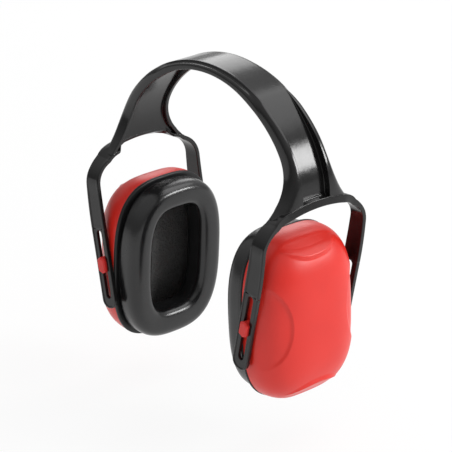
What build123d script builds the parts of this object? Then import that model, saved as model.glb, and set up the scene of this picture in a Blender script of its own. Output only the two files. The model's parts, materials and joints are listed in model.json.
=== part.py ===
from build123d import *
from math import acos, cos, degrees, pi, radians, sin, sqrt
import os

# Earmuff hearing protector, unworn.
# X runs from ear to ear, Y from front to back, Z up. The origin is the middle of the
# underside of the crown, where the band rests on a head or a hook.
# Each cup is drawn in its own frame: x away from the head, y to the back, z up,
# with x = 0 where the shell meets its back plate. It is then hung on its studs.

# Headband, seen from the front: three arcs and a straight arm follow each other.
crown_radius = 82.0          # middle of the band over the top of the head
crown_turn = 50.0            # degrees of that arc on each side
bow_half_width = 76.0        # middle of the band where it is widest
bow_radius = 250.0
arm_lean = 11.7              # degrees that the arms lean in towards the neck
arm_length = 53.4            # straight stretch that carries the slot

# Depth of the band across that line: towards the head, and away from it.
crown_depth_in = 2.1
crown_depth_out = 4.1
fork_depth_in = 4.0
fork_depth_out = 6.0
arm_width = 12.4

# Headband, seen from the side: one band that parts into a fork.
band_half_width = 14.8       # outer face of the side wall, at its head edge
edge_lean = 2.6              # the wall's outer edge stands this much further in
flare_start = 38.5           # height of the flare's upper end, below the crown's middle line
flare_angle = 58.0           # degrees, steepest slope of the flare
shoulder_radius = 15.5
arm_thickness = 2.8
arm_tip_round = 5.4
arm_rim = 1.3                # raised rim round the arm's outer face
arm_panel_depth = 0.5

# Web between the side walls, and the bridge at its lower end. Levels are counted down
# from the crown's middle line.
web_thickness = 2.2
web_sink = 3.6               # how much deeper the web lies at the fork than at the crown
web_flush_level = 13.0       # the outer channel starts below here
web_sunk_level = 58.0        # and has its full depth from here
channel_runout = 0.8         # how far the channel's floor starts above the crown's skin
channel_half_width = 11.6
channel_level = 63.8         # lower end of the channel's floor
ledge_slope = 30.0           # degrees, from there down to the bridge's outer face
bridge_level = 69.8          # lower edge of the bridge in the middle
bridge_drop = 2.8            # the edge is this much lower at bridge_chord from the middle
bridge_chord = 26.0
bridge_lip = 1.8             # lip left along that edge on the head side

# Slot in each arm and the stud that slides in it.
slot_width = 4.6
slot_length = 45.1
slot_inset = 1.8             # from the top of the straight arm
slide_fit = 0.1
slide_travel = 17.0          # each way from the middle of the slot
end_play = 0.25
stud_play = 0.15             # under the stud's head
stud_head_length = 11.0
stud_head_width = 6.8
stud_head_thickness = 2.4
stud_pin_radius = 2.1
pin_fit = 0.05
barb_height = 0.6
barb_length = 2.2
barb_slit = 0.8

# Cup shell.
shell_half_width = 39.9
shell_half_height = 54.0
shell_depth = 29.0
shell_power = 3.0            # squareness of its outline
dome_power = 2.6             # squareness of its dome
shell_wall = 2.2
cup_tilt = 2.8               # degrees that the cup's lower end stands out at rest
pivot_out = 6.25             # studs, from the face where shell and back plate meet
pivot_up = 1.2               # studs, above the cup's middle
boss_radius = 5.4
boss_height = 4.6            # inside the shell's wall

# Back plate, cushion and foam liner.
plate_thickness = 2.2
plate_overhang = 0.3
spigot_height = 3.6
spigot_wall = 1.4
ear_half_width = 21.3
ear_half_height = 35.2
ear_power = 2.9
ear_round = 4.0
plate_opening_margin = 4.0
ring_thickness = 1.8
ring_cover = 0.8             # the ring stands back this far round the ear opening
ring_spigot_height = 3.0
cushion_half_width = 38.4
cushion_half_height = 52.7
cushion_power = 2.55
cushion_thickness = 16.4     # ring included
cushion_round = 5.0
skin_thickness = 0.7
liner_thickness = 16.0

# Clearances.
side_gap = 0.3               # between the cup's sides and the arms
seat_gap = 0.05              # between hard pieces that seat on each other
spigot_gap = 0.2             # round the back plate's spigot, in the shell
soft_gap = 0.3               # between soft pieces and their neighbours
cut_reach = 30.0             # how far cutting shapes reach past what they cut


# ---- Headband ----

def smooth(value):
    """Ease from 0 to 1 as value goes from 0 to 1, and stay there outside."""
    value = min(max(value, 0.0), 1.0)
    return value * value * (3 - 2 * value)


shoulder_arc_radius = (bow_half_width - crown_radius * sin(radians(crown_turn))) / (
    1 - sin(radians(crown_turn)))
crown_arc = JernArc((0, crown_depth_in), (1, 0), crown_radius, -crown_turn)
shoulder_arc = JernArc(crown_arc @ 1, crown_arc % 1, shoulder_arc_radius, crown_turn - 90)
bow_arc = JernArc(shoulder_arc @ 1, shoulder_arc % 1, bow_radius, -arm_lean)
arm_top = bow_arc @ 1
arm_way = bow_arc % 1
arm_level = crown_depth_in - arm_top.Y
slot_centre = slot_inset + slot_length / 2

cup_side = shell_half_width + plate_overhang
arm_inner = cup_side + side_gap
arm_outer = arm_inner + arm_thickness
flare_radius = (arm_outer - band_half_width) / (1 - cos(radians(flare_angle))) - shoulder_radius
flare_drop = (flare_radius + shoulder_radius) * sin(radians(flare_angle))


def fork_half_width(level):
    """Outer face of the side wall and its slope (degrees), at a level below the crown."""
    down = level - flare_start
    left = flare_drop - down
    if down <= 0:
        return band_half_width, 0.0
    if left <= 0:
        return arm_outer, 0.0
    if down < flare_radius * sin(radians(flare_angle)):
        reach = sqrt(flare_radius ** 2 - down ** 2)
        return band_half_width + flare_radius - reach, degrees(acos(reach / flare_radius))
    reach = sqrt(shoulder_radius ** 2 - left ** 2)
    return arm_outer - shoulder_radius + reach, degrees(acos(reach / shoulder_radius))


def band_depths(level):
    """How far the band reaches towards the head and away from it."""
    to_fork = smooth((level - web_flush_level) / (channel_level - web_flush_level))
    to_arm = smooth((level - channel_level) / (arm_level - channel_level))
    inward = crown_depth_in + (fork_depth_in - crown_depth_in) * to_fork
    outward = crown_depth_out + (fork_depth_out - crown_depth_out) * to_fork
    inward += (arm_width / 2 - inward) * to_arm
    outward += (arm_width / 2 - outward) * to_arm
    return inward, outward


def web_faces(level):
    """The web's face towards the head and the channel's floor, out from the middle line."""
    sunk = smooth((level - web_flush_level) / (web_sunk_level - web_flush_level))
    skin = crown_depth_out - web_sink * sunk
    return skin - web_thickness, skin + channel_runout * (1 - sunk)


def level_of(place):
    return crown_depth_in - place.Y


def stations():
    """Points and outward directions along the right half of the band's middle line."""
    found = []
    for arc, count in ((crown_arc, 5), (shoulder_arc, 5), (bow_arc, 10)):
        for step in range(count):
            way = arc % (step / count)
            found.append((arc @ (step / count), Vector(-way.Y, way.X)))
    outward = Vector(-arm_way.Y, arm_way.X)
    found.append((arm_top, outward))
    return found


def cross_section(place, outward, side, low, high, low_half, high_half):
    """A four-cornered section of the band, in the plane across its middle line."""
    corners = ((low, -low_half), (high, -high_half), (high, high_half), (low, low_half))
    spots = [(place + outward * reach, across) for reach, across in corners]
    return Wire.make_polygon([(side * spot.X, across, spot.Y) for spot, across in spots])


def edge_lean_at(level):
    return edge_lean * (1 - smooth((level - flare_start) / flare_drop))


def skin_section(place, outward, side):
    """The band's outside."""
    level = level_of(place)
    half = fork_half_width(level)[0]
    inward, out = band_depths(level)
    return cross_section(place, outward, side, -inward, out, half, half - edge_lean_at(level))


def inside_section(place, outward, side, low, high):
    """The space between the side walls, from low to high across the band."""
    level = level_of(place)
    half, slope = fork_half_width(level)
    inward, out = band_depths(level)
    inner = half - arm_thickness / cos(radians(slope))
    lean = edge_lean_at(level) / (inward + out)
    low_half = inner - lean * (low + inward)
    high_half = inner - lean * (high + inward)
    return cross_section(place, outward, side, low, high, low_half, high_half)


def recess_section(place, outward, side):
    return inside_section(place, outward, side, -cut_reach, web_faces(level_of(place))[0])


def window_section(place, outward, side):
    return inside_section(place, outward, side, -cut_reach, cut_reach)


def channel_section(place, outward, side):
    floor = web_faces(level_of(place))[1]
    return cross_section(place, outward, side, floor, cut_reach, channel_half_width,
                         channel_half_width)


def over_the_crown(section):
    """Loft from the left arms over the crown to the right arms."""
    spots = stations()
    left = [section(place, outward, -1) for place, outward in reversed(spots[1:])]
    right = [section(place, outward, 1) for place, outward in spots]
    return Solid.make_loft(left + right)


def down_one_side(section, first_level, last_level):
    """Loft down the right side, between two levels."""
    spots = [spot for spot in stations() if first_level <= level_of(spot[0]) <= last_level]
    return Solid.make_loft([section(place, outward, 1) for place, outward in spots])


def both_sides(shape):
    return shape + mirror(shape, about=Plane.YZ)


def below_the_bridge(level):
    """All that lies under an arch across the fork, whose middle is at this level."""
    top = crown_depth_in - level
    reach = arm_outer + cut_reach
    arch = ThreePointArc((-bridge_chord, top - bridge_drop), (0, top),
                         (bridge_chord, top - bridge_drop))
    start, end = arch @ 0, arch @ 1
    outline = [
        arch,
        Polyline(end, (reach, end.Y), (reach, end.Y - arm_level), (-reach, end.Y - arm_level),
                 (-reach, start.Y), start),
    ]
    return extrude(Plane.YZ * make_face(outline), bow_half_width + cut_reach, both=True)


def above_the_ledge():
    """All that lies above the sloping lower end of the right side's channel."""
    floor_out = web_faces(channel_level)[1]
    corner = Pos(bow_half_width + floor_out, 0, crown_depth_in - channel_level)
    size = 4 * cut_reach
    half_space = Box(size, size, size, align=(Align.CENTER, Align.CENTER, Align.MIN))
    return corner * Rot(0, ledge_slope, 0) * half_space


def arm_outline(inset):
    """The straight arm seen from the side of the object, with its rounded tip."""
    width = arm_width - 2 * inset
    length = arm_length - inset
    blank = Pos(length / 2, 0) * Rectangle(length, width)
    return fillet(blank.vertices().group_by(Axis.X)[-1], arm_tip_round - inset)


def bar(radius, start, end):
    """A round bar along +Z."""
    return Pos(0, 0, start) * Cylinder(radius, end - start,
                                       align=(Align.CENTER, Align.CENTER, Align.MIN))


def on_arm(shape):
    """Turn a shape so that its +X runs down the right front arm and its +Z to the front."""
    place = Plane(origin=(arm_top.X, 0, arm_top.Y), x_dir=(arm_way.X, 0, arm_way.Y),
                  z_dir=(0, -1, 0))
    return place * shape


def arm():
    """One straight arm, with the rim round its outer face, and its slot."""
    plate = extrude(on_arm(Pos(0, 0, arm_inner) * arm_outline(0)), arm_thickness)
    panel = extrude(on_arm(Pos(0, 0, arm_outer - arm_panel_depth) * arm_outline(arm_rim)),
                    cut_reach)
    slot = Pos(slot_centre, 0) * SlotOverall(slot_length, slot_width)
    return plate - panel - extrude(on_arm(slot), arm_outer + cut_reach)


def headband():
    body = over_the_crown(skin_section)
    body -= over_the_crown(recess_section) - below_the_bridge(bridge_level - bridge_lip)
    window = down_one_side(window_section, flare_start, arm_level + 1)
    body -= both_sides(window & below_the_bridge(bridge_level))
    channel = down_one_side(channel_section, 0, bridge_level + 10)
    body -= both_sides(channel & above_the_ledge())
    front_arm = arm()
    arms = front_arm + mirror(front_arm, about=Plane.XZ)
    return body + both_sides(arms)


# ---- Slide studs: the cup turns on their pins, and their necks slide in the slots ----

slot_middle = arm_top + arm_way * slot_centre
neck_length = slot_length - 2 * (slide_travel + end_play)
neck_width = slot_width - 2 * slide_fit
stud_seat = arm_outer - arm_panel_depth + stud_play
boss_face = shell_half_width - shell_wall - boss_height


def stud():
    """The right cup's front stud: head, neck, pin and split barb, from outside to inside."""
    head = extrude(Pos(0, 0, stud_seat) * stud_head_outline(), stud_head_thickness)
    head = chamfer(head.edges().group_by(Axis.Z)[-1], stud_head_thickness / 3)
    neck_outline = SlotOverall(neck_length, neck_width)
    neck = extrude(Pos(0, 0, arm_inner) * neck_outline, stud_seat - arm_inner)
    pin_end = boss_face - seat_gap
    pin = bar(stud_pin_radius, pin_end, arm_inner)
    barb = Pos(0, 0, pin_end - barb_length) * Cone(
        stud_pin_radius - barb_height / 2, stud_pin_radius + barb_height, barb_length,
        align=(Align.CENTER, Align.CENTER, Align.MIN))
    slit = Pos(0, 0, pin_end) * Box(barb_slit, 4 * stud_pin_radius, 2 * boss_height)
    return on_arm(Pos(slot_centre, 0) * (head + neck + pin + barb - slit))


def stud_head_outline():
    """A six-sided block whose long sides follow the arm."""
    half_length = stud_head_length / 2
    half_width = stud_head_width / 2
    shoulder = half_length - half_width / 2
    outline = Polygon(
        (-half_length, 0), (-shoulder, -half_width), (shoulder, -half_width),
        (half_length, 0), (shoulder, half_width), (-shoulder, half_width),
        align=None)
    return fillet(outline.vertices(), half_width / 3)


# ---- Cups ----

def oval(half_width, half_height, power, place=0.0):
    """A squarish oval: the curve |y / half_width|^power + |z / half_height|^power = 1."""
    points = []
    for step in range(48):
        angle = 2 * pi * step / 48
        across, up = cos(angle), sin(angle)
        across = abs(across) ** (2 / power) * (1 if across > 0 else -1)
        up = abs(up) ** (2 / power) * (1 if up > 0 else -1)
        points.append((place, half_width * across, half_height * up))
    return Wire([Spline(points, periodic=True)])


def oval_plate(half_width, half_height, power, start, end):
    """A flat plate with that outline, from x = start to x = end."""
    face = Face(oval(half_width, half_height, power, min(start, end)))
    return extrude(face, abs(end - start), dir=(1, 0, 0))


def oval_ring(outer, inner, start, end):
    """A plate with an oval hole; outer and inner are each half width, half height, power."""
    return oval_plate(*outer, start, end) - oval_plate(*inner, start - 1, end + 1)


def dome(inset):
    """The shell's bulging outer surface, or one that lies inside it by the inset."""
    depth = shell_depth - inset
    sections = []
    for share in (0, 0.15, 0.3, 0.45, 0.6, 0.72, 0.82, 0.9, 0.95, 0.98):
        shrink = (1 - share ** dome_power) ** (1 / dome_power)
        sections.append(oval((shell_half_width - inset) * shrink,
                             (shell_half_height - inset) * shrink, shell_power, depth * share))
    return Solid.make_loft(sections)


def at_pivots(shape):
    """Put a shape, drawn along +Z from the cup's middle plane, at both ends of the pivot."""
    place = Pos(pivot_out, 0, pivot_up)
    return place * Rot(-90, 0, 0) * shape + place * Rot(90, 0, 0) * shape


def cup_shell():
    outside = dome(0)
    shell = outside - dome(shell_wall)
    shell += at_pivots(bar(boss_radius, boss_face, shell_half_width - shell_wall / 2)) & outside
    shell += at_pivots(bar(boss_radius, shell_half_width - shell_wall, cup_side))
    return shell - at_pivots(bar(stud_pin_radius + pin_fit, 0, arm_outer))


def back_plate():
    opening = (ear_half_width + plate_opening_margin, ear_half_height + plate_opening_margin,
               ear_power)
    flange = (cup_side, shell_half_height + plate_overhang, shell_power)
    plate = oval_ring(flange, opening, -plate_thickness, 0)
    inset = shell_wall + spigot_gap
    outer = (shell_half_width - inset, shell_half_height - inset, shell_power)
    inset += spigot_wall
    inner = (shell_half_width - inset, shell_half_height - inset, shell_power)
    spigot = oval_ring(outer, inner, 0, spigot_height)
    return plate + spigot - at_pivots(bar(boss_radius + spigot_gap, 0, shell_half_width))


def grown(size, amount):
    """An oval's half width, half height and power, grown by an amount all round."""
    half_width, half_height, power = size
    return half_width + amount, half_height + amount, power


cushion_outline = (cushion_half_width, cushion_half_height, cushion_power)
ear_outline = (ear_half_width, ear_half_height, ear_power)


def cushion_ring():
    """The stiff ring in the cushion's back, which snaps into the back plate's opening."""
    back = -plate_thickness - seat_gap
    outer = grown(cushion_outline, -skin_thickness - soft_gap)
    inner = grown(ear_outline, ring_cover + skin_thickness)
    ring = oval_ring(outer, inner, back - ring_thickness, back)
    snap = grown(ear_outline, plate_opening_margin - seat_gap)
    return ring + oval_ring(snap, grown(snap, -spigot_wall), back, back + ring_spigot_height)


def padded_ring(inset, back):
    """The cushion's rounded ring, lying inside its surface by the inset."""
    face = -plate_thickness - cushion_thickness
    outer = oval_plate(*grown(cushion_outline, -inset), face + inset, back)
    outer = fillet(outer.edges().group_by(Axis.X)[0], cushion_round)
    hole = oval_plate(*grown(ear_outline, inset), face - 1, back + 1)
    ring = outer - hole
    rim = ring.edges().group_by(Axis.X)[0].sort_by(SortBy.LENGTH)[0]
    return fillet(rim, ear_round)


def cushion_skin():
    back = -plate_thickness - soft_gap
    return padded_ring(0, back) - padded_ring(skin_thickness, back + 1)


def cushion_foam():
    back = -plate_thickness - seat_gap - ring_thickness - soft_gap
    return padded_ring(skin_thickness + soft_gap, back)


def foam_liner():
    """The soft block that fills the closed end of the shell."""
    inset = shell_wall + soft_gap
    start = shell_depth - inset - liner_thickness
    deep = Pos(start, 0, 0) * Box(4 * cut_reach, 4 * cut_reach, 4 * cut_reach,
                                  align=(Align.MIN, Align.CENTER, Align.CENTER))
    bosses = at_pivots(bar(boss_radius + soft_gap, boss_face - soft_gap, shell_half_width))
    return (dome(inset) & deep) - bosses


def hang(shape):
    """Hang a piece of the right cup on its studs."""
    pivot = Location((slot_middle.X, 0, slot_middle.Y), (0, -cup_tilt, 0))
    return pivot * Pos(-pivot_out, 0, -pivot_up) * shape


def build():
    """Every piece by its node's name."""
    pieces = {"headband": headband()}
    front = stud()
    right = {
        "front_stud": front,
        "rear_stud": mirror(front, about=Plane.XZ),
        "cup_shell": hang(cup_shell()),
        "back_plate": hang(back_plate()),
        "cushion_ring": hang(cushion_ring()),
        "cushion_foam": hang(cushion_foam()),
        "cushion_skin": hang(cushion_skin()),
        "foam_liner": hang(foam_liner()),
    }
    for name, piece in right.items():
        pieces["right_" + name] = piece
        pieces["left_" + name] = mirror(piece, about=Plane.YZ)
    return pieces


os.makedirs("parts", exist_ok=True)
for node, piece in build().items():
    export_step(piece, "parts/" + node + ".step")
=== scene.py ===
# %% [markdown]
# # An earmuff hearing protector
# A black springy headband parts into a fork at each end. Each fork carries a red cup on two
# studs, which slide in its slots, and each cup has a soft cushion for the side of the head.
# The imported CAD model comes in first. The studs and the hidden cushion rings keep its mesh and
# only get a finish. The band, the shells, the back plates and the soft pieces are made here as
# surfaces, because their rounded forms are finer than the model's.

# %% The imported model
import json
from math import cos, pi, radians, sin

import bpy
import numpy as np
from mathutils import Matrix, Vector


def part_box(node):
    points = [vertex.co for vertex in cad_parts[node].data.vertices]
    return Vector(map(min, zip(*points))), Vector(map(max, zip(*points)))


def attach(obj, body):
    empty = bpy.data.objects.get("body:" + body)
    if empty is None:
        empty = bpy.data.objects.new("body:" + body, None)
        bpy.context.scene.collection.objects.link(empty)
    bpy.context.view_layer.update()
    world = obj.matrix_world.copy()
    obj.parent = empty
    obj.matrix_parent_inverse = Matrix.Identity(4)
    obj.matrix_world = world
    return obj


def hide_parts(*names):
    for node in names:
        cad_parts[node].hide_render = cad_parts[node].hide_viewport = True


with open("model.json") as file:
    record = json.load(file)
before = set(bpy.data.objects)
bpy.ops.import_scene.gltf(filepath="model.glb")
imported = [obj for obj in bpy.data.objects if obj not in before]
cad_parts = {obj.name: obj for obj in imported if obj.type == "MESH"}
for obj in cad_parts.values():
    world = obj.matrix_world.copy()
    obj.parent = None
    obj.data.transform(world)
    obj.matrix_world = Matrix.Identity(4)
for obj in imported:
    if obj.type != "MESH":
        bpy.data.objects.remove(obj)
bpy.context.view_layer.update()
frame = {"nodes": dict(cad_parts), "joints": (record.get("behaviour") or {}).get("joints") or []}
print("pieces in the model:", sorted(frame["nodes"]))

# %% [markdown]
# ## Camera
# A long lens from well above the cups, turned a little more than halfway from the front to the
# right ear, flattens the perspective the way product pictures do. The lens and the distance go
# together: further away with a longer lens looks flatter.

# %% Camera
view_turn = radians(47.374)
view_rise = radians(22.275)
view_distance = 1.4608
view_centre = Vector((0.0019, 0.0003, -0.1030))

camera_data = bpy.data.cameras.new("camera")
camera_data.sensor_width = 36
camera_data.lens = 187.33
camera = bpy.data.objects.new("camera", camera_data)
back = Vector((sin(view_turn) * cos(view_rise), -cos(view_turn) * cos(view_rise), sin(view_rise)))
camera.location = view_centre + back * view_distance
camera.rotation_euler = back.to_track_quat("Z", "Y").to_euler()
bpy.context.scene.collection.objects.link(camera)
bpy.context.scene.camera = camera
print("camera at", tuple(round(value, 3) for value in camera.location))

# %% [markdown]
# ## Shader maths as plain expressions
# A material is a graph of nodes, and a formula in nodes is hard to read. This small class stands
# for one output socket, and its operators add the Math node that does the sum, so a roughness can
# be written `0.85 + fine * 0.12`. Everything that isn't arithmetic on numbers comes from `make`.

# %% A socket that can be added and multiplied
class Flow:
    """One output socket of a material's nodes. Its operators add Math nodes."""

    def __init__(self, tree, socket):
        self.tree, self.socket = tree, socket

    def make(self, kind, settings=None, inputs=None, output=0):
        """Add a node: its settings first, then the values or links of its sockets."""
        node = self.tree.nodes.new("ShaderNode" + kind)
        for key, value in (settings or {}).items():
            setattr(node, key, value)
        for key, value in (inputs or {}).items():
            if isinstance(value, Flow):
                self.tree.links.new(value.socket, node.inputs[key])
            else:
                node.inputs[key].default_value = value
        return Flow(self.tree, node.outputs[output])

    def maths(self, operation, *others):
        """A Math node that does this operation on these values or sockets."""
        return self.make("Math", {"operation": operation}, dict(enumerate(others)))

    def __add__(self, other):
        return self.maths("ADD", self, other)

    def __radd__(self, other):
        return self.maths("ADD", other, self)

    def __sub__(self, other):
        return self.maths("SUBTRACT", self, other)

    def __rsub__(self, other):
        return self.maths("SUBTRACT", other, self)

    def __mul__(self, other):
        return self.maths("MULTIPLY", self, other)

    def __rmul__(self, other):
        return self.maths("MULTIPLY", other, self)

    def between(self, low, high):
        """0 where the value is under low, 1 over high, and an eased rise between."""
        return self.make("MapRange", {"interpolation_type": "SMOOTHSTEP"},
                         {"Value": self, "From Min": low, "From Max": high})


# %% Making a finish
def finish(name, build, **surface):
    """A Principled material: constants go on its own sockets, and build(place) gives what varies
    over the surface."""
    material = bpy.data.materials.new(name)
    material.use_nodes = True
    tree = material.node_tree
    shader = tree.nodes["Principled BSDF"]
    for key, value in surface.items():
        shader.inputs[key.replace("_", " ")].default_value = value
    place = Flow(tree, tree.nodes.new("ShaderNodeTexCoord").outputs["Object"])
    for key, value in build(place).items():
        tree.links.new(value.socket, shader.inputs[key])
    print("finish", name, "has", len(tree.nodes), "nodes")
    return material


def blend(place, share, first, second):
    """A colour between two, by a share from 0 to 1."""
    return place.make("Mix", {"data_type": "RGBA"}, {0: share, 6: first, 7: second}, 2)


def noise(place, size, detail=2.0, roughness=0.5):
    """Cloudy noise whose patches are about this many metres across."""
    return place.make("TexNoise", {}, {"Vector": place, "Scale": 1 / size, "Detail": detail,
                                       "Roughness": roughness})


def relief(place, height, depth, normal=None):
    """A bump that is this many metres deep."""
    inputs = {"Height": height, "Distance": depth, "Strength": 1.0}
    if normal:
        inputs["Normal"] = normal
    return place.make("Bump", {}, inputs)


# %% [markdown]
# ## Moulded plastic
# The band, the shells and the studs are injection moulded. Such a face is never quite flat: it
# has a faint orange peel, a little haze where hands rub it, and a softened edge where the mould
# was polished. The Bevel node rounds the normal at sharp edges, which catches the light the way a
# real half-millimetre radius does, and the mesh stays as it is.

# %% Band, shell, stud and plate plastic
patch_size, rub_size, ripple_size, grain_size = 0.03, 0.006, 0.004, 0.0009


def moulded(base, worn, shine, peel, edge=0.0004):
    """What varies on a moulded piece. Its colour goes from base to worn where patches and rubbing
    add up, its roughness is the shine give or take a little of both, and its relief is fine grain
    and wide ripples, peel metres deep, over edges rounded by this radius."""
    def build(place):
        patches = noise(place, patch_size, 3.0)
        rub = noise(place, rub_size, 4.0, 0.65)
        grain = noise(place, grain_size, 2.0)
        shade = blend(place, patches.between(0.35, 0.7) * 0.6 + rub * 0.25, base, worn)
        gloss = shine + (rub - 0.5) * 0.10 + (patches - 0.5) * 0.08
        rounded = place.make("Bevel", {"samples": 6}, {"Radius": edge})
        ripple = grain * 0.6 + noise(place, ripple_size, 1.0) * 1.6
        return {"Base Color": shade, "Roughness": gloss,
                "Normal": relief(place, ripple, peel, rounded)}
    return build


band_plastic = finish(
    "band_plastic", moulded((0.0068, 0.0066, 0.0068, 1), (0.0105, 0.0102, 0.0104, 1),
                            0.17, 0.00002), Specular_IOR_Level=0.4)
stud_plastic = finish(
    "stud_plastic", moulded((0.73, 0.030, 0.026, 1), (0.66, 0.024, 0.020, 1),
                            0.34, 0.00002), Specular_IOR_Level=0.35)
shell_plastic = finish(
    "shell_plastic", moulded((0.76, 0.022, 0.012, 1), (0.71, 0.019, 0.011, 1),
                             0.35, 0.00002, edge=0.0002), Specular_IOR_Level=0.5)
plate_plastic = finish(
    "plate_plastic", moulded((0.0075, 0.0075, 0.008, 1), (0.012, 0.012, 0.0125, 1),
                             0.38, 0.00003), Specular_IOR_Level=0.35)
ring_plastic = finish(
    "ring_plastic", moulded((0.013, 0.013, 0.014, 1), (0.02, 0.02, 0.021, 1),
                            0.45, 0.00004), Specular_IOR_Level=0.45)

# %% [markdown]
# ## Cushion skin and foams
# The skin is a thin plastic film drawn over foam: smooth and shiny, with a fine pebble that shows
# only in the highlights, and a little slack. Open foam is all holes, so it is made from a cell
# pattern that sinks the holes and paints shade into them.

# %% Skin and foam finishes
pebble_size, slack_size, handled_size = 0.0007, 0.005, 0.02


def drawn_film(place):
    """What varies on the cushion's skin: two blacks mixed by handled patches, a roughness that
    rises with the patches and the pebble, and a relief of pebble and slack."""
    pebble = place.make("TexVoronoi", {"feature": "SMOOTH_F1"},
                        {"Vector": place, "Scale": 1 / pebble_size, "Smoothness": 0.6})
    slack = noise(place, slack_size, 3.0)
    handled = noise(place, handled_size, 3.0)
    shade = blend(place, handled.between(0.3, 0.75), (0.0065, 0.0065, 0.007, 1),
                  (0.011, 0.011, 0.0115, 1))
    gloss = 0.21 + (handled - 0.5) * 0.08 + pebble * 0.06
    return {"Base Color": shade, "Roughness": gloss,
            "Normal": relief(place, pebble * 0.5 + slack * 1.2, 0.00005)}


def foam(base, painted_hole_shade, cell):
    """What varies on open foam: each cell, this many metres wide, is deep in its middle and
    darkened there by painted shade, which rises to the base colour at its walls."""
    def build(place):
        cells = place.make("TexVoronoi", {"feature": "F1"}, {"Vector": place, "Scale": 1 / cell})
        fine = noise(place, cell * 0.6, 2.0)
        depth = cells.between(0.15, 0.75)
        # The dark cell middles are painted shade in the foam's hollows, laid over their real
        # sinking.
        shade = blend(place, depth * 0.8 + fine * 0.2, painted_hole_shade, base)
        return {"Base Color": shade, "Roughness": 0.85 + fine * 0.12,
                "Normal": relief(place, depth + fine * 0.4, 0.0004)}
    return build


cushion_film = finish("cushion_skin", drawn_film, Specular_IOR_Level=0.55)
cushion_foam = finish(
    "cushion_foam", foam((0.09, 0.09, 0.095, 1), (0.02, 0.02, 0.02, 1), 0.0011),
    Specular_IOR_Level=0.2)
# The liner's greys are painted light: lighter than its dark foam, standing in for light that
# hardly reaches inside the shell.
liner_foam = finish(
    "liner_foam", foam((0.105, 0.104, 0.102, 1), (0.085, 0.085, 0.085, 1), 0.0013),
    Specular_IOR_Level=0.15)

# %% Finishes on the pieces that keep their CAD mesh
kept = {}
for side in ("right", "left"):
    kept[side + "_front_stud"] = stud_plastic
    kept[side + "_rear_stud"] = stud_plastic
    kept[side + "_cushion_ring"] = ring_plastic
for name, material in kept.items():
    slots = frame["nodes"][name].data.materials
    slots.clear()
    slots.append(material)
print("finished as they are:", sorted(kept))

# %% [markdown]
# ## Surfaces from two parameters
# Every new piece is a grid of points worked out at once as an array: one parameter runs round
# the cup's oval or along the band, the other along a section. A closed section gives a ring or a
# tube, and a section whose two ends lie on the middle line gives a closed bulge. The sign of the
# volume tells whether the faces point outwards, and they are turned if they don't.

# %% From grids to a mesh
def facing_out(points, quads, faces):
    """The faces, all turned round if the volume is negative. The volume has the sign of the sum,
    over the quads, of the first corner times the cross product of the next two."""
    corners = points[quads]
    volume = np.einsum("ij,ij->i", corners[:, 0], np.cross(corners[:, 1], corners[:, 2])).sum()
    return [face[::-1] for face in faces] if volume < 0 else faces


def quads_between(index, below):
    """Four corners to a face: a point, the next in its row, and the two under them."""
    return np.stack([index, np.roll(index, -1, 1), np.roll(below, -1, 1), below],
                    -1).reshape(-1, 4)


def skin_of(grid, ring):
    """Quads between the rows and columns of a grid, whose columns close on themselves. A ring's
    rows close too. Otherwise the first and last rows are single points, joined by fans."""
    rows, columns, _ = grid.shape
    if ring:
        points = grid.reshape(-1, 3)
        index = np.arange(rows * columns).reshape(rows, columns)
        below = np.roll(index, -1, 0)
        fans = []
    else:
        points = np.concatenate([grid[:1, 0], grid[1:-1].reshape(-1, 3), grid[-1:, 0]])
        index = 1 + np.arange((rows - 2) * columns).reshape(rows - 2, columns)
        first, last = index[0], index[-1]
        end = len(points) - 1
        fans = [(0, b, a) for a, b in zip(first.tolist(), np.roll(first, -1).tolist())]
        fans += [(end, a, b) for a, b in zip(last.tolist(), np.roll(last, -1).tolist())]
        below = index[1:]
        index = index[:-1]
    quads = quads_between(index, below)
    return points, facing_out(points, quads, quads.tolist() + fans)


def zipped_skin(grid, outer, inner):
    """A tube with a hollow-sided section, closed at both ends like a zip: each column of the
    outer list is joined to the column of the inner list beside it. Where a list stays on one
    column, the face between has three corners."""
    rows, columns, _ = grid.shape
    index = np.arange(rows * columns).reshape(rows, columns)
    quads = quads_between(index[:-1], index[1:])
    teeth = np.stack([outer[1:], outer[:-1], inner[:-1], inner[1:]], -1)
    faces = quads.tolist() + index[-1][teeth].tolist() + index[0][teeth[:, ::-1]].tolist()
    faces = [tuple(dict.fromkeys(face)) for face in faces]
    points = grid.reshape(-1, 3)
    return points, facing_out(points, quads, faces)


def new_piece(name, skins, material):
    """One mesh of several closed skins: each skin's faces count on from the points before it."""
    starts = np.cumsum([0] + [len(points) for points, faces in skins]).tolist()
    faces = [tuple(corner + start for corner in face)
             for start, (_, its_faces) in zip(starts, skins) for face in its_faces]
    mesh = bpy.data.meshes.new(name)
    mesh.from_pydata(np.concatenate([points for points, _ in skins]).tolist(), [], faces)
    mesh.shade_smooth()
    mesh.materials.append(material)
    piece = bpy.data.objects.new(name, mesh)
    bpy.context.scene.collection.objects.link(piece)
    print(name, starts[-1], "points,", len(faces), "faces")
    return piece


def closed_surface(name, grid, ring, material):
    """A piece that is one closed skin."""
    return new_piece(name, [skin_of(grid, ring)], material)


def capped(grid):
    """A tube with closed ends: each end gets a row at the middle of its last section."""
    middle = grid[[0, -1]].mean(1, keepdims=True) + 0 * grid[[0, -1]]
    return np.concatenate([middle[:1], grid, middle[1:]])


def evenly(points, count):
    """Points the same length apart along an open curve: the running length is summed up, and
    each coordinate is read off at even steps of it."""
    points = np.asarray(points, float)
    run = np.concatenate([[0], np.cumsum(np.linalg.norm(np.diff(points, axis=0), axis=1))])
    steps = np.linspace(0, run[-1], count)
    return np.stack([np.interp(steps, run, points[:, k]) for k in range(points.shape[1])], -1)


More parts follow.
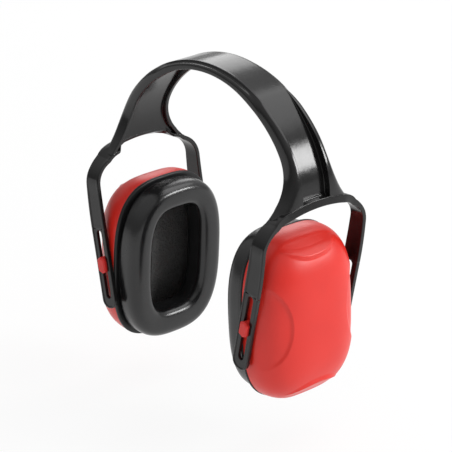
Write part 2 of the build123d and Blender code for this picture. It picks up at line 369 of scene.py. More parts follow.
def softened(corners, cuts, turns=7):
    """Round the corners of many closed sections at once: corners is rows x corners x
    coordinates, and cuts says how far each corner's rounding reaches towards the corner before
    and the one after it. The rounding from A past the corner C to B is
    (1-t)^2 A + 2t(1-t) C + t^2 B. A side too short for its two cuts shrinks both. One more point
    beyond each end keeps flat faces flat, so a corner becomes turns + 2 points."""
    side = np.roll(corners, -1, 1) - corners
    length = np.maximum(np.linalg.norm(side, axis=-1), 1e-9)
    cuts = np.broadcast_to(np.asarray(cuts, float), (*corners.shape[:2], 2))
    asked = cuts[..., 1] + np.roll(cuts[..., 0], -1, 1)
    fit = np.minimum(1, 0.8 * length / np.maximum(asked, 1e-9))
    onward = side / length[..., None]
    back_reach = (cuts[..., 0] * np.roll(fit, 1, 1))[..., None]
    on_reach = (cuts[..., 1] * fit)[..., None]
    before = corners - np.roll(onward, 1, 1) * back_reach
    after = corners + onward * on_reach
    t = np.linspace(0, 1, turns)[:, None]
    turn = ((1 - t) ** 2 * before[:, :, None] + 2 * t * (1 - t) * corners[:, :, None]
            + t ** 2 * after[:, :, None])
    lead = corners - np.roll(onward, 1, 1) * back_reach * 1.2
    trail = corners + onward * on_reach * 1.2
    every = np.concatenate([lead[:, :, None], turn, trail[:, :, None]], 2)
    return every.reshape(len(corners), -1, corners.shape[-1])


def rounded(corners, radius, count):
    """One closed profile with rounded corners, as points the same length apart."""
    corners = np.asarray(corners, float)[None]
    reach = np.broadcast_to(radius, corners.shape[1])
    loop = softened(corners, np.stack([reach, reach], -1)[None], 9)[0]
    return evenly(np.concatenate([loop, loop[:1]]), count + 1)[:-1]


def ease(value):
    """0 up to 1 with no corner at either end, and flat outside."""
    value = np.clip(value, 0, 1)
    return value * value * (3 - 2 * value)


# %% [markdown]
# ## The headband
# The band is one moulding. Seen from the front it is a round arc over the head, a tighter one at
# each side, a long shallow one and a straight arm. Seen from the side it parts into a fork below
# the side arcs. All of it is worked out on the unrolled strip: a length along the band's middle
# line, a distance across it and a distance out from it, in millimetres. One function rolls the
# strip up at the end.

# %% The middle line
crown_radius, crown_turn = 82.0, 50.0
bow_half_width, bow_radius, arm_lean = 76.0, 250.0, 11.7
arm_length, spare_length, line_height = 53.4, 20, 2.1
lift = sin(radians(crown_turn))
shoulder_arc_radius = (bow_half_width - crown_radius * lift) / (1 - lift)
line_ends = np.cumsum([0, crown_radius * radians(crown_turn),
                       shoulder_arc_radius * radians(90 - crown_turn),
                       bow_radius * radians(arm_lean), arm_length + spare_length])
arm_start = line_ends[3]
line_run = np.linspace(0, line_ends[-1], 4001)
line_fall = np.radians(np.interp(line_run, line_ends, [0, crown_turn, 90, 90 + arm_lean,
                                                       90 + arm_lean]))
between = (line_fall[1:] + line_fall[:-1]) / 2
step = line_run[1]
line_out = np.concatenate([[0], np.cumsum(np.cos(between) * step)])
line_level = np.concatenate([[0], np.cumsum(np.sin(between) * step)])
print("arm starts", round(float(arm_start), 1), "mm along, its tip", arm_start + arm_length)


def on_band(run, across, out):
    """Roll the strip up. The running length gives the place on the middle line and its fall, and
    out is measured square to it. Negative lengths are on the left."""
    length = abs(run)
    fall = np.interp(length, line_run, line_fall)
    x = np.interp(length, line_run, line_out) + np.sin(fall) * out
    z = line_height - np.interp(length, line_run, line_level) + np.cos(fall) * out
    side = np.where(run < 0, -1.0, 1.0)
    return np.stack(np.broadcast_arrays(side * x, across + 0 * x, z), -1) / 1000


def level_at(run):
    """How far below the crown's middle line that length is."""
    return np.interp(abs(run), line_run, line_level)


def run_at(level):
    """The length along the band that lies that far below the crown's middle line."""
    return np.interp(level, line_level, line_run)


# %% The fork's outline and the band's depth
shell_half_width, shell_half_height, shell_depth = 39.9, 54.0, 29.0
band_half_width, wall = 15.4, 2.8
flare_start, flare_angle, shoulder_radius = 38.5, radians(58.0), 15.5
arm_inner = shell_half_width + 0.6
arm_outer = arm_inner + wall
flare_radius = (arm_outer - band_half_width) / (1 - cos(flare_angle)) - shoulder_radius
flare_drop = (flare_radius + shoulder_radius) * sin(flare_angle)
channel_start, channel_end = 13, 65.5
fork_level, arm_level = 63.8, float(level_at(arm_start))
bridge_level, bridge_drop, bridge_chord = 69.1, 3.3, 26.0
flange_rise, flange_reach, flange_head = 3.7, 7.2, -1.0
arm_half_width = 6.2
print("the flare drops", round(flare_drop, 1), "mm on a radius of", round(flare_radius, 1))


def fork_edge(level):
    """The side wall's outer face, and the cosine of its slope. It runs straight down, swings out
    on a wide arc, swings back on the shoulder's tighter arc and ends straight on the arm."""
    down = np.clip(level - flare_start, 0, flare_drop)
    swing = flare_radius * sin(flare_angle)
    out_arc = np.sqrt(flare_radius ** 2 - np.minimum(down, swing) ** 2)
    in_arc = np.sqrt(shoulder_radius ** 2 - np.minimum(flare_drop - down, shoulder_radius) ** 2)
    first = down < swing
    edge = np.where(first, band_half_width + flare_radius - out_arc,
                    arm_outer - shoulder_radius + in_arc)
    return edge, np.where(first, out_arc / flare_radius, in_arc / shoulder_radius)


def depths(level):
    """How far the band reaches towards the head, and away from it: 2.1 and 3.2 mm at the crown,
    a little more just beside it, more again by the fork, and half the arm's width on the arms."""
    to_fork = ease((level - channel_start) / (fork_level - channel_start))
    to_arm = ease((level - fork_level) / (arm_level - fork_level))
    inward = 2.1 + 1.1 * ease(level / 12) + 1.0 * to_fork
    outward = 3.2 + 0.6 * ease(level / 16) + 2.2 * to_fork
    return (inward + (arm_half_width - inward) * to_arm,
            outward + (arm_half_width - outward) * to_arm)


# %% [markdown]
# ### Over the crown and down to the fork
# The band's section is a shallow H. A thin panel lies between two side walls. At the crown the
# panel is flush: each edge drops through a small cove to a bead, and the flank falls from there.
# Further down the panel sinks away from the rims into a channel, and the flank becomes one full
# round from the rim to the wall. Both sections are lists of corners with the same count, so every
# section between them is a plain mixture of the two. The panel ends inside the bridge below it,
# along the same arch, so that no gap shows between them.

# %% The band's sections
channel_half_width, panel_thickness = 11.0, 2.2
channel_depth, rim_drop = 4.8, 0.4
edge_lean, tuck = 2.6, 1.2


def panel_height(level):
    """The panel's outer face: level with the rims at the crown, and then sinking from them, first
    quickly and then ever more slowly, until the channel has its full depth."""
    down = np.clip((level - 11) / 37, 0, 1)
    return depths(level)[1] - 0.05 - channel_depth * down * (2 - down)


def arch_level(across):
    """The window's upper edge, at the strip's outer face."""
    return bridge_level + bridge_drop * (across / bridge_chord) ** 2


def flange(across):
    """1 on the bridge, where the window's edge slopes in under the channel, 0 on the walls."""
    return 1 - ease((abs(across) - 17) / 6)


def band_grid():
    """The band down to the bridges, as rows of one softened section each. Its corners run from
    the channel's floor over the rim and down the wall to the head side and the panel's underside,
    then back the same way on the other half: share 0 gives the crown's corners, 1 the fork's.
    Over its last 8 mm each row moves back along the band, so that the last one lies on the
    arch."""
    last = run_at(arch_level(bridge_chord) - tuck)
    run = np.concatenate([np.arange(0, run_at(60), 1.3), np.arange(run_at(60), last, 0.4)])
    run = np.concatenate([-run[:0:-1], run])
    level = level_at(run)
    edge, slope = fork_edge(level)
    inward, outward = depths(level)
    hidden = 0.08 * ease((level - 66) / 2)
    edge, inner = edge - hidden, edge - wall / slope + hidden
    head = hidden - inward
    rim = outward - rim_drop * ease((level - 25) / 40)
    panel = panel_height(level)
    under = panel - panel_thickness
    panel = panel + 0.9 * ease((level - channel_end + 0.9) / 1.4)
    lean = edge_lean * (1 - ease((level - flare_start) / flare_drop))
    lean = lean * (under + inward) / (inward + outward)
    one = np.ones_like(level)
    inside = channel_half_width * one
    middle = [(5.5 * one, panel)], [(12.5 * one, under), (6.0 * one, under)]
    crown = [(inside, panel), (inside, rim), (11.9 * one, rim), (12.5 * one, rim - 1.5),
             (edge, rim - 1.6), (edge, head), (inner, head), (inner - lean, under)]
    lip = inside + 0.12 * (edge - inside)
    fork = [(inside, panel), (inside, rim), (lip, rim), (edge - 0.25, rim),
            (edge, rim - 5.6), (edge, head), (inner, head), (inner - lean, under)]
    crown_cuts = [(2.0, 2.0), (0.5, 0.5), (0.1, 0.15), (0.3, 0.4), (0.5, 0.4), (2.3, 1.8),
                  (1.4, 0.8), (0.6, 0.6), (1.0, 1.0), (2.0, 2.0), (2.0, 2.0)]
    shoulder = 0.86 * (edge - lip)
    fork_cuts = [(2.0, 2.0), (0.5, 0.5), (0.15, 0.2), (0.15, 0.1), (shoulder, 4.8), (0.1, 0.1),
                 (1.0, 0.7), (0.6, 0.6), (1.0, 1.0), (2.0, 2.0), (2.0, 2.0)]
    share = ease((level - 6) / 13)[:, None, None]
    crown = np.stack([np.stack(corner, -1) for corner in middle[0] + crown + middle[1]], 1)
    fork = np.stack([np.stack(corner, -1) for corner in middle[0] + fork + middle[1]], 1)
    corners = crown * (1 - share) + fork * share
    cuts = [np.stack(np.broadcast_arrays(a + 0 * one, b), -1) for a, b in fork_cuts]
    cuts = np.array(crown_cuts) * (1 - share) + np.stack(cuts, 1) * share
    mirrored = corners[:, ::-1] * (-1, 1)
    section = softened(np.concatenate([corners, mirrored], 1),
                       np.concatenate([cuts, cuts[:, ::-1, ::-1]], 1))
    slope_in = flange_rise * (flange_reach - section[..., 1]) / (flange_reach - flange_head)
    end = arch_level(section[..., 0]) - tuck + (0.5 - slope_in) * flange(section[..., 0])
    spare = np.maximum(last - run_at(end), 0)
    run = run[:, None]
    along = run - np.sign(run) * spare * np.clip((abs(run) - last) / 8 + 1, 0, 1)
    return on_band(along, section[..., 0], section[..., 1])


# %% [markdown]
# ### The bridge and the shoulders
# Below the channel a raised strip arches across the fork and runs on over both shoulders into the
# arms. It is drawn along the edge of the window under it: an arch and the two flares, with the
# corners rounded. Its outer face stands proud of the channel's rims, so a crease runs along it.
# Across the bridge its underside slopes in below the channel and ends in a thin lip on the head
# side, and on the arms its broad face is panelled.

# %% The strip round the window
bridge_height, bridge_lip = 4.6, 1.8
panel_rim, panel_depth = 1.3, 0.5
print("the bridge's edge is", bridge_level, "mm down in the middle,", bridge_level + bridge_drop,
      "at its ends")


def window_edge(count, corner_cut=3.0):
    """The window's edge as (across, run), from one arm over the arch to the other arm: the arch
    and the wall's inner face, up to where they meet, with that corner rounded off."""
    across = np.linspace(0, bridge_chord, 200)
    arch = np.stack([across, run_at(arch_level(across))], -1)
    run = np.linspace(run_at(bridge_level), arm_start + 1.0, 600)
    edge, slope = fork_edge(level_at(run))
    flare = np.stack([edge - wall / slope, run], -1)
    above = level_at(run) - arch_level(flare[:, 0])
    corner = np.array([np.interp(0, above, flare[:, 0]), np.interp(0, above, run)])
    arch = arch[arch[:, 0] < corner[0] - corner_cut]
    flare = flare[(above > 0) & (np.linalg.norm(flare - corner, axis=1) > corner_cut)]
    t = np.linspace(0, 1, 12)[1:-1, None]
    turn = (1 - t) ** 2 * arch[-1] + 2 * t * (1 - t) * corner + t ** 2 * flare[0]
    half = np.concatenate([arch, turn, flare])
    return evenly(np.concatenate([half[:0:-1] * (-1, 1), half]), count)


def strip_grid(side, count=170):
    """The strip as one section carried along the window's edge. A section's corners are (away
    from the edge, out from the middle line). bridge is 1 across the fork and 0 on the arms, and
    mixes the bridge's corners with the panelled arm's."""
    path = window_edge(count)
    way = np.gradient(path, axis=0)
    way /= np.linalg.norm(way, axis=1, keepdims=True)
    away = np.stack([way[:, 1], -way[:, 0]], -1)
    level = level_at(path[:, 1])
    inward, outward = depths(level)
    share = flange(path[:, 0])
    bridge = 1 - ease((abs(path[:, 0]) - 22) / 8)
    tall = wall + (bridge_height - wall) * (1 - ease((abs(path[:, 0]) - 27) / 11))
    sunk = panel_depth * ease((level - 84) / 12)
    middle = panel_height(level) - panel_thickness / 2
    zero = 0 * level
    head = -inward * (1 - share) + flange_head * share
    start = flange_rise * share
    lip = start + wall + (bridge_lip - wall) * bridge
    rim = panel_rim * (1 - bridge)
    brow = outward + (flange_reach - outward) * bridge
    corners = [(start, head), (lip, head), (lip, head + rim + 0.1),
               (lip - sunk, (head + rim + 0.35) * (1 - bridge) + middle * bridge),
               (tall - sunk, (outward - rim - 0.35) * (1 - bridge) + (middle + 0.1) * bridge),
               (tall, outward - rim - 0.1), (tall, outward), (zero, brow)]
    corners = np.stack([np.stack(corner, -1) for corner in corners], 1)
    cuts = np.array([0.6, 0.6, 0.15, 0.15, 0.15, 0.15, 0.5, 0.6])
    section = softened(corners, np.stack([cuts, cuts], -1)[None])
    flat = path[:, None] + away[:, None] * section[..., :1]
    return capped(on_band(side * flat[..., 1], flat[..., 0], section[..., 1]))


# %% [markdown]
# ### The arms
# Each arm is a flat bar with a rounded tip and a long slot, panelled on its outer face inside a
# raised rim. The bar is a ring round its slot: three outlines, from the slot to the rim's inner
# edge to the arm's own edge, carry one section round. Its top end lies inside the strip.

# %% An arm as a ring round its slot
slot_start, slot_length, slot_width, tip_round = 1.8, 45.1, 4.6, 5.4
print("each slot is", slot_length, "x", slot_width, "mm")


def rounded_box(start, end, half_width, start_radius, end_radius, count):
    """An outline with rounded corners, drawn by a direction that goes once round: the corner's
    centre jumps from corner to corner, and the direction times the radius is added to it."""
    swing = np.linspace(0, 2 * pi, 721)
    along, across = np.cos(swing), np.sin(swing)
    radius = np.where(along > 0, end_radius, start_radius)
    x = np.where(along > 0, end - radius, start + radius) + radius * along
    y = np.sign(across) * (half_width - radius) + radius * across
    return evenly(np.stack([x, y], -1), count + 1)[:-1]


def arm_grid(side, front, count=120):
    """An arm as a ring: its section runs from the slot over the sunken panel and the raised rim
    to the arm's own edge. Its top end is drawn in a little, so that it lies inside the strip."""
    edge = rounded_box(-1.5, arm_length, arm_half_width, 0.3, tip_round, count)
    rim = rounded_box(-1.4, arm_length - panel_rim, arm_half_width - panel_rim, 0.2,
                      tip_round - panel_rim, count)
    slot = rounded_box(slot_start, slot_start + slot_length, slot_width / 2, slot_width / 2,
                       slot_width / 2, count)
    top, panel = arm_outer, arm_outer - panel_depth
    heights = (arm_inner, panel, panel, top, top, arm_inner)
    corners = [np.column_stack([outline, np.full(count, height)]) for outline, height in
               zip((slot, slot, rim, rim + (edge - rim) * 0.12, edge, edge), heights)]
    cuts = np.array([0.35, 0.4, 0.15, 0.2, 0.6, 0.6])
    section = softened(np.stack(corners, 1), np.stack([cuts, cuts], -1)[None], 5)
    hidden = 1 - ease((section[..., 0] - 0.55) / 0.4)
    across = np.minimum(section[..., 2], top - (panel_depth + 0.08) * hidden)
    across = np.maximum(across, arm_inner + 0.06 * hidden)
    out = section[..., 1] * (1 - 0.01 * hidden)
    return on_band(side * (arm_start + section[..., 0]), front * across, out)


# %% [markdown]
# ### One headband
# The band's ends can't be closed by fans, because its section is hollow on the head side. Its
# columns are zipped up instead. Each half of the section has 11 corners of 9 points. The zip
# starts at the foot of the wall, in the seventh corner, and follows the outside over the rim and
# the channel to the other foot. The inside keeps beside it, up the wall and along the panel's
# underside.

# %% The headband in one piece
half_columns, foot = 11 * 9, 7 * 9 - 1
outside = np.arange(foot, -1, -1)
inside = foot + 1 + np.interp(foot - outside, [0, 13, 39, foot],
                              [0, 13, 13, half_columns - foot - 2]).round().astype(int)
outside, inside = [np.concatenate([half, 2 * half_columns - 1 - half[::-1]])
                   for half in (outside, inside)]
skins = [zipped_skin(band_grid(), outside, inside)]
for side in (1, -1):
    skins.append(skin_of(strip_grid(side), ring=False))
    skins += [skin_of(arm_grid(side, front), ring=True) for front in (1, -1)]
band = new_piece("band", skins, band_plastic)
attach(band, "headband")
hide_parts("headband")

# %% [markdown]
# ## The cup's own frame
# A cup is easiest to shape lying straight: millimetres away from the head, across and up, with
# nought where the shell meets its back plate. Hung on its pins, it leans a little so that its
# lower end stands out, and the left cup is the mirror image of the right one.

# %% Cup sizes and its place on the arms
cup_lean = radians(2.8)
pins = next(joint["pos_m"] for joint in frame["joints"] if joint["name"] == "right_cup_tilt")
pin_out, pin_up = 6.25, 1.2
shell_power, dome_power, shell_wall = 3.0, 2.85, 2.2
ear_oval, ear_rise = (20.4, 34.8, 3.6), 1.2
cushion_oval = (38.4, 52.7, 2.8)
plate_thickness, cushion_thickness = 2.2, 16.4
print("the pins are", round(-pins[2] * 1000, 1), "mm below the crown's underside")


def hang(cup_points, side):
    """Cup points (out, across, up) in millimetres to the object's metres: turned by the lean
    about the pins, then mirrored for the left."""
    out = cup_points[..., 0] - pin_out
    up = cup_points[..., 2] - pin_up
    x = pins[0] + (out * cos(cup_lean) - up * sin(cup_lean)) / 1000
    z = pins[2] + (out * sin(cup_lean) + up * cos(cup_lean)) / 1000
    return np.stack([side * x, cup_points[..., 1] / 1000, z], -1)


def oval(directions, half_width, half_height, power):
    """A squarish oval: in direction a its distance from the middle is
    (|cos a / half_width|^power + |sin a / half_height|^power)^(-1/power)."""
    across, up = np.cos(directions), np.sin(directions)
    reach = (abs(across / half_width) ** power + abs(up / half_height) ** power) ** (-1 / power)
    return np.stack([reach * across, reach * up], -1)


def round_the_oval(count, sizes=(shell_half_width, shell_half_height, shell_power)):
    """Directions that part an oval into even lengths, starting at its rear side."""
    fine = np.linspace(0, 2 * pi, 1441)
    edge = oval(fine, *sizes)
    run = np.concatenate([[0], np.cumsum(np.linalg.norm(np.diff(edge, axis=0), axis=1))])
    return np.interp(np.linspace(0, run[-1], count, endpoint=False), run, fine)


def between_ovals(profile, inner, outer, count, rise=0.0):
    """A ring between two ovals: profile gives, for each row, the share of the way from the inner
    to the outer oval and the place out from the shell's rim. The inner oval may sit higher."""
    directions = round_the_oval(count, outer)
    near, far = oval(directions, *inner) + (0, rise), oval(directions, *outer)
    share = profile[:, 0][:, None, None]
    flat = near + (far - near) * share
    out = np.broadcast_to(profile[:, 1][:, None, None], (*flat.shape[:2], 1))
    return np.concatenate([out, flat], -1)


# %% [markdown]
# ## Cup shells
# Each shell is a deep bulge with a squarish outline, moulded 2.2 mm thick. Two finger scoops are
# pressed into it, one over the top and one under the bottom, each shaped like a leaf that ends in
# a crisp lip. Shallow dishes run from the sides, where the studs are, to a soft curved step.
# The bulge is two power curves multiplied together. The scoops and dishes are displacements along
# the surface's normal, so they can be read and changed as heights in millimetres.

# %% Height of the scoops and dishes
scoop_half_width, scoop_rise, scoop_fall = 22.5, 1.4, 2.6
scoop_top, scoop_lip = 50.8, 41.2
dish_edge, dish_curve_radius, dish_sink, dish_step = 22.4, 34.5, 1.1, 2.8
print("scoops from", scoop_lip, "to", scoop_top, "mm off the middle, dishes from", dish_edge)


def shell_relief(out, across, up):
    """Height above the plain bulge. A scoop lies between its upper line and its lip, two curves
    in height that meet at its tips: the surface dips under the upper line, climbs evenly to the
    lip and drops behind it. A dish sinks inside a circle centred beyond the cup's side."""
    side = np.minimum(abs(across) / scoop_half_width, 1)
    upper = scoop_top - 3.6 * side ** 3
    lip = scoop_lip + 6.0 * side ** 2.2
    tall = np.clip((upper - lip) / 9, 0, 1) ** 1.2
    along = (abs(up) - lip) / np.maximum(upper - lip, 0.05)
    facet = np.interp(along, [0, 0.55, 0.7, 0.8, 0.9, 1.05, 1.2, 1.4],
                      [scoop_rise, -0.7, -0.95, -1.02, -0.95, -0.55, -0.18, 0])
    drop = scoop_rise * (1 - ease((lip - abs(up)) / (scoop_fall * (0.4 + 0.6 * tall))))
    scoop = tall * np.where(along > 0, facet, drop)
    height = abs(up - 1.0)
    bow = dish_curve_radius - np.sqrt(np.maximum(dish_curve_radius ** 2 - height ** 2, 0))
    circle = dish_edge + bow
    inside = np.clip((abs(across) - circle) / dish_step, 0, 1)
    dish = -dish_sink * inside * (2 - inside) * ease((30 - height) / 12) * ease((out - 8) / 8)
    return scoop + dish


# %% The shells
def bulge(profile, directions, inset):
    """The bulge for rows of (scale, out): the outline, smaller by the inset, times each scale."""
    outline = oval(directions, shell_half_width - inset, shell_half_height - inset, shell_power)
    flat = profile[:, 0][:, None, None] * outline
    out = np.broadcast_to(profile[:, 1][:, None, None], (*flat.shape[:2], 1))
    return np.concatenate([out, flat], -1)


mean_half_size = 46


def dome_profile(inset, count):
    """Scale and depth from rim to top: scale^p + (out / depth)^p = 1 with the dome power p. The
    steps are even on a dome of the mean half size."""
    swing = np.linspace(0, pi / 2, 400)
    scale, out = np.cos(swing) ** (2 / dome_power), np.sin(swing) ** (2 / dome_power)
    even = evenly(np.stack([scale * mean_half_size, out * (shell_depth - inset)], -1), count)
    return even / (mean_half_size, 1)


def normals_of(grid):
    """Unit normals of a grid whose columns close on themselves: the cross product of its two
    tangents, one along the rows and one down the columns."""
    down = np.gradient(grid, axis=0)
    onward = (np.roll(grid, -1, 1) - np.roll(grid, 1, 1)) / 2
    normal = np.cross(onward, down)
    length = np.linalg.norm(normal, axis=-1, keepdims=True)
    return normal / np.maximum(length, 1e-12)


def shell_points(columns=352):
    """The shell's skin: the inner bulge from its top to the rim, two rows round the rim's edge,
    and the outer bulge up to its top, moved along its normals by the relief. A normal is turned
    if it doesn't point away from the head and from the cup's middle."""
    directions = round_the_oval(columns)
    outer = bulge(dome_profile(0, 170), directions, 0)
    normal = normals_of(outer)
    normal[-1] = (1, 0, 0)
    normal *= np.sign(normal[..., :1] + 1e-9)
    normal = np.where((normal * outer).sum(-1, keepdims=True) < 0, -normal, normal)
    height = shell_relief(outer[..., 0], outer[..., 1], outer[..., 2])
    outer = outer + normal * height[..., None]
    inner = bulge(dome_profile(shell_wall, 28), directions, shell_wall)
    edge = bulge(np.array([[0.986, 0.0], [0.995, 0.08]]), directions, 0)
    return np.concatenate([inner[::-1], edge, outer[1:]])


for side, sign in (("right", 1), ("left", -1)):
    shell = closed_surface(side + "_shell", hang(shell_points(), sign), False, shell_plastic)
    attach(shell, side + "_cup")
    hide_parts(side + "_cup_shell")

# %% [markdown]
# ## Back plates
# The back plate closes the shell. From outside only its rim shows, as a black band with rounded
# edges between the red shell and the cushion, and its spigot stands inside the shell. Its section
# is one closed profile carried round the cup between its opening and its rim.

# %% The back plates
plate_opening = (25.3, 39.2, 2.9)
plate_rim = (40.2, 54.3, 3.0)
spigot_height = 3.6
plate_corners = [(0, -plate_thickness), (1, -plate_thickness), (1, 0), (0.83, 0),
                 (0.83, spigot_height), (0.73, spigot_height), (0.73, 0), (0, 0)]
plate_scale = plate_rim[0] - plate_opening[0]
plate_profile = rounded(np.array(plate_corners) * (plate_scale, 1),
                        [0.7, 0.9, 0.5, 0.1, 0.3, 0.3, 0.1, 0.7], 96) / (plate_scale, 1)
for side, sign in (("right", 1), ("left", -1)):
    grid = between_ovals(plate_profile, plate_opening, plate_rim, 240)
    plate = closed_surface(side + "_plate", hang(grid, sign), True, plate_plastic)
    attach(plate, side + "_cup")
    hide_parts(side + "_back_plate")

# %% [markdown]
# ## Cushions
# A cushion is a foam ring in a drawn plastic skin. It is round towards the ear opening and at its
# outer edge, and almost flat where it lies on the head. It starts as a ring slightly smaller than
# the real one. A short cloth simulation with air pressure inside then lets it swell, while its
# back seam stays put. That gives it the fullness that a drawn profile lacks.

# %% The cushion's section and its simulation
cushion_gap, seam_depth, most_swelling = 0.3, 2.5, 0.0006
cushion_back, cushion_face = -plate_thickness - cushion_gap, -plate_thickness - cushion_thickness
ring_width = cushion_oval[0] - ear_oval[0]


def cushion_profile(inset, count):
    """Closed section of the ring: four corners, each with its own rounding."""
    low, high = inset, ring_width - inset
    corners = [(low, cushion_back), (low, cushion_face + inset + 0.5),
               (high, cushion_face + inset), (high, cushion_back)]
    loop = rounded(corners, [1.2, 7.5, 9.0, 2.2], count)
    return loop / (ring_width, 1)


def swell(piece, held, cap, pressure=4.0, frames=20):
    """Blow the piece up with Blender's cloth: the held points stay, and a move longer than the
    cap, in metres, is shortened to it."""
    start = np.empty(len(piece.data.vertices) * 3)
    piece.data.vertices.foreach_get("co", start)
    start = start.reshape(-1, 3)
    group = piece.vertex_groups.new(name="seam")
    group.add(np.flatnonzero(held).tolist(), 1.0, "REPLACE")
    cloth = piece.modifiers.new("cloth", "CLOTH")
    cloth.settings.quality = 6
    cloth.settings.mass = 0.3
    cloth.settings.tension_stiffness = 40
    cloth.settings.compression_stiffness = 40
    cloth.settings.bending_stiffness = 8
    cloth.settings.vertex_group_mass = "seam"
    cloth.settings.use_pressure = True
    cloth.settings.uniform_pressure_force = pressure
    cloth.settings.effector_weights.gravity = 0
    cloth.point_cache.frame_start, cloth.point_cache.frame_end = 1, frames
    for step in range(1, frames + 1):
        bpy.context.scene.frame_set(step)
    settled = piece.evaluated_get(bpy.context.evaluated_depsgraph_get()).to_mesh()
    end = np.empty(len(settled.vertices) * 3)
    settled.vertices.foreach_get("co", end)
    piece.modifiers.remove(cloth)
    bpy.context.scene.frame_set(1)
    move = end.reshape(-1, 3) - start
    length = np.linalg.norm(move, axis=1, keepdims=True)
    move *= np.minimum(1, cap / np.maximum(length, 1e-9))
    piece.data.vertices.foreach_set("co", (start + move).ravel())
    piece.data.update()
    print(piece.name, "swelled by", round(float(length.max() * 1000), 2), "mm, capped at",
          cap * 1000)


# %% The cushions
for side, sign in (("right", 1), ("left", -1)):
    profile = cushion_profile(0.15, 56)
    grid = between_ovals(profile, ear_oval, cushion_oval, 192, ear_rise)
    cushion = closed_surface(side + "_cushion", hang(grid, sign), True, cushion_film)
    swell(cushion, (grid[..., 0] > cushion_back - seam_depth).ravel(), most_swelling)
    smooth = cushion.modifiers.new("subdivision", "SUBSURF")
    smooth.levels = smooth.render_levels = 1
    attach(cushion, side + "_cup")
    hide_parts(side + "_cushion_skin")

    core_grid = between_ovals(cushion_profile(1.3, 40), ear_oval, cushion_oval, 128, ear_rise)
    core_grid[..., 0] = np.minimum(core_grid[..., 0], cushion_back - 1.9)
    core = closed_surface(side + "_foam_core", hang(core_grid, sign), True, cushion_foam)
    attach(core, side + "_cup")
    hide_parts(side + "_cushion_foam")

# %% [markdown]
# ## Foam liners
# A soft dark block fills the closed end of each shell and takes the sound. It is cut from a sheet
# and pushed in by hand, so its face bulges a little and its edge is slack. Seen through the ear
# opening it is matt, where the skin round it shines. Its colour is painted light: a lighter grey
# than the dark foam, standing in for the little light that reaches into the shell.

# %% The liners
liner_front, liner_bulge, liner_inset = 10.5, 1.2, shell_wall + 0.3
for side, sign in (("right", 1), ("left", -1)):
    back_curve = dome_profile(liner_inset, 60)
    back_curve = back_curve[back_curve[:, 1] > liner_front + 1.5]
    edge_scale = back_curve[0, 0]
    share = np.linspace(0, 1, 24)
    front_curve = np.stack([share * (edge_scale - 0.012),
                            liner_front - liner_bulge * (1 - share ** 2)], -1)
    corner = [[edge_scale - 0.004, liner_front + 0.4], [edge_scale, liner_front + 1.2]]
    liner_profile = np.concatenate([front_curve, corner, back_curve])
    directions = round_the_oval(144)
    liner_grid = bulge(liner_profile, directions, liner_inset)
    wave = np.sin(directions * 5 + 1) * 0.25 + np.sin(directions * 9 + 2) * 0.15
    front_rows = len(front_curve) + len(corner)
    liner_grid[:front_rows, :, 0] += (np.clip(liner_profile[:front_rows, 0], 0, 1)[:, None] ** 2
                                      * wave)
    liner = closed_surface(side + "_liner", hang(liner_grid, sign), False, liner_foam)
    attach(liner, side + "_cup")
    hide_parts(side + "_foam_liner")

# %% [markdown]
# ## Floor and light
# A pale floor takes a soft shadow. It lies far enough below the cups that they can slide down to
# the ends of their slots. Seen by the camera or in a reflection it is mixed with plain white, so
# the background stays white without more light on the object. Glossy black plastic shows its
# shape only by what it mirrors, so the room matters more than the lamps: it is bright overhead
# and behind the object and dim in front, as in a studio with its lights at the back. Two soft
# panels stand behind the object, and one hangs over it.

# %% Floor
def white_for_the_eye(name, colour, share):
    """A matt white that is partly plain white where the camera or a mirror sees it."""
    material = bpy.data.materials.new(name)
    material.use_nodes = True
    tree = material.node_tree
    shader = tree.nodes["Principled BSDF"]
    shader.inputs["Roughness"].default_value = 0.9
    shader.inputs["Specular IOR Level"].default_value = 0.0
    path = tree.nodes.new("ShaderNodeLightPath")
    seen = Flow(tree, path.outputs["Is Camera Ray"]) + Flow(tree, path.outputs["Is Glossy Ray"])
    seen = seen + Flow(tree, path.outputs["Is Transmission Ray"])
    shade = noise(Flow(tree, tree.nodes.new("ShaderNodeTexCoord").outputs["Object"]), 0.4)
    tint = blend(shade, shade * 0.3, (*colour, 1), (*(value * 0.98 for value in colour), 1))
    tree.links.new(tint.socket, shader.inputs["Base Color"])
    glow = seen.make("Emission", {}, {"Color": (1, 1, 1, 1), "Strength": 1.0})
    both = seen.make("MixShader", {}, {0: seen.maths("MINIMUM", seen, 1.0) * share,
                                       1: Flow(tree, shader.outputs[0]), 2: glow})
    tree.links.new(both.socket, tree.nodes["Material Output"].inputs["Surface"])
    return material


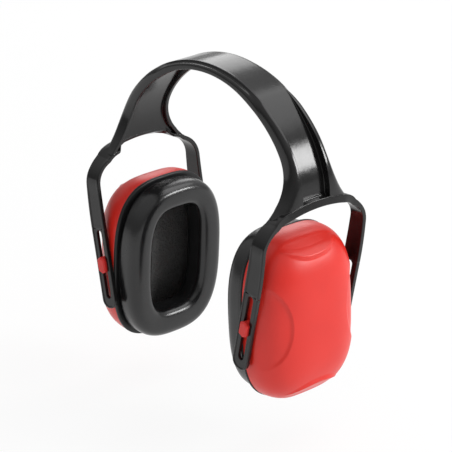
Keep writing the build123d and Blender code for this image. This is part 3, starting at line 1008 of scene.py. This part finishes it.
floor_drop, floor_reach = 0.032, 4.0
floor_level = min(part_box(name)[0].z for name in frame["nodes"]) - floor_drop
floor_mesh = bpy.data.meshes.new("floor")
floor_mesh.from_pydata([(x * floor_reach, y * floor_reach, floor_level)
                        for x, y in ((-1, -1), (1, -1), (1, 1), (-1, 1))], [], [(0, 1, 2, 3)])
floor = bpy.data.objects.new("floor", floor_mesh)
bpy.context.scene.collection.objects.link(floor)
floor_mesh.materials.append(white_for_the_eye("floor_white", (0.93, 0.93, 0.93), 0.86))
print("floor at", round(floor_level * 1000, 1), "mm")

# %% [markdown]
# The surround is a gradient on the direction: height brightens it, and so does turning to the
# back. Where a camera sees past the floor's edge, it sees plain white instead.

# %% Surround and lamps
world = bpy.data.worlds.new("surround")
bpy.context.scene.world = world
world.use_nodes = True
sky = world.node_tree
direction = Flow(sky, sky.nodes.new("ShaderNodeTexCoord").outputs["Generated"])
parts = [direction.make("SeparateXYZ", {}, {0: direction}, axis) for axis in range(3)]
height, behind = parts[2].between(-0.1, 0.8), parts[1].between(-0.7, 0.7)
strength = 0.24 + height * 0.42 + behind * 0.16
surround = sky.nodes["Background"]
surround.inputs["Color"].default_value = (1, 1, 1, 1)
light_path = Flow(sky, sky.nodes.new("ShaderNodeLightPath").outputs["Is Camera Ray"])
sky.links.new(strength.maths("MAXIMUM", strength, light_path).socket, surround.inputs["Strength"])


def panel(name, place, aim, width, height, power):
    """A soft panel lamp that faces a point."""
    data = bpy.data.lights.new(name, "AREA")
    data.shape, data.size, data.size_y, data.energy = "RECTANGLE", width, height, power
    lamp = bpy.data.objects.new(name, data)
    lamp.location = place
    lamp.rotation_euler = (Vector(place) - Vector(aim)).to_track_quat("Z", "Y").to_euler()
    bpy.context.scene.collection.objects.link(lamp)


panel("rear right", (0.92, 0.75, 0.36), (0.07, 0, -0.04), 0.36, 0.34, 7.2)
panel("rear left", (-0.90, 0.84, 0.50), (0, 0, 0), 0.6, 0.6, 2.6)
panel("overhead", (0.22, 0.62, 0.98), (0, 0, -0.1), 0.9, 0.9, 4.5)
bpy.context.scene.view_settings.view_transform = "Standard"
print("lamps:", sorted(light.name for light in bpy.data.lights))
